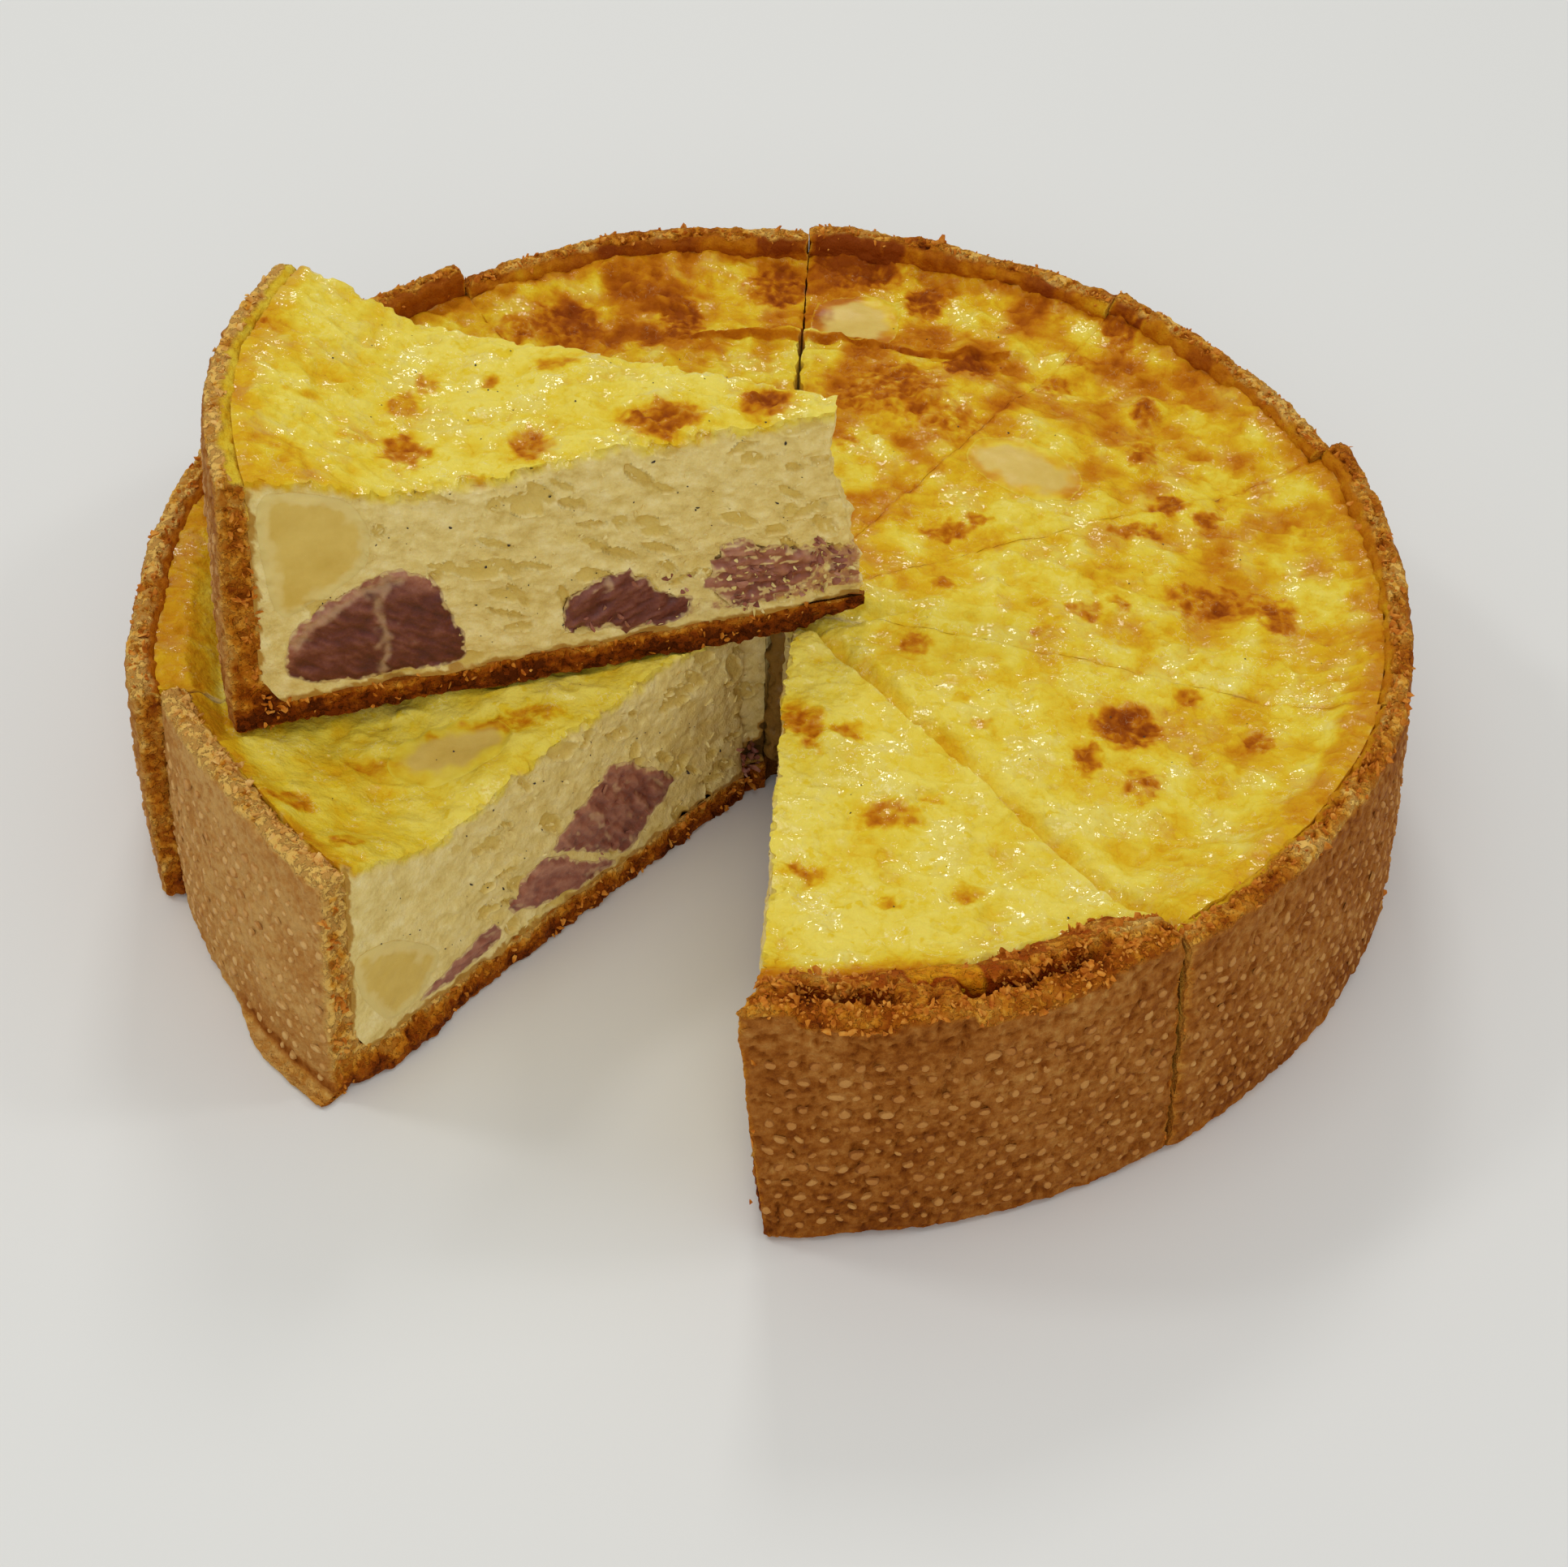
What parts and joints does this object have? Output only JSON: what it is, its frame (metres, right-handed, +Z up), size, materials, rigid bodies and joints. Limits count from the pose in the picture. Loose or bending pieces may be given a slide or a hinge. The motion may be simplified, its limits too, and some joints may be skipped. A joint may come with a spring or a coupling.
{
  "type": "quiche",
  "caption": "Deep straight-sided quiche of egg custard with ham and potato in a shortcrust case, cut into wedges, with a wedge lifted out and laid on top.",
  "frame": {"origin": "on the surface the quiche stands on, under the middle of its box", "axes": "+Z up; -Y towards the open gap at the front; +X to the right when seen from that gap"},
  "size_m": [0.265, 0.2612, 0.1118],
  "materials": {
    "baked_crust": "matt browned shortcrust",
    "custard": "moist satin set egg custard",
    "ham": "moist cooked ham",
    "potato": "moist boiled potato"
  },
  "bodies": {
    "root": {"crust_bc": "baked_crust", "crust_cd": "baked_crust", "crust_de": "baked_crust", "crust_ef": "baked_crust", "crust_fg": "baked_crust", "crust_gh": "baked_crust", "crust_hi": "baked_crust", "crust_ij": "baked_crust", "crust_ja": "baked_crust", "crust_lifted": "baked_crust", "custard_bc": "custard", "custard_cd": "custard", "custard_de": "custard", "custard_ef": "custard", "custard_fg": "custard", "custard_gh": "custard", "custard_hi": "custard", "custard_ij": "custard", "custard_ja": "custard", "custard_lifted": "custard", "ham_left_large": "ham", "ham_left_pale": "ham", "ham_left_sliver": "ham", "ham_lifted_inner": "ham", "ham_lifted_large": "ham", "ham_lifted_middle": "ham", "potato_left": "potato", "potato_lifted": "potato", "potato_top_back": "potato", "potato_top_left": "potato", "potato_top_right": "potato"}
  },
  "joints": []
}
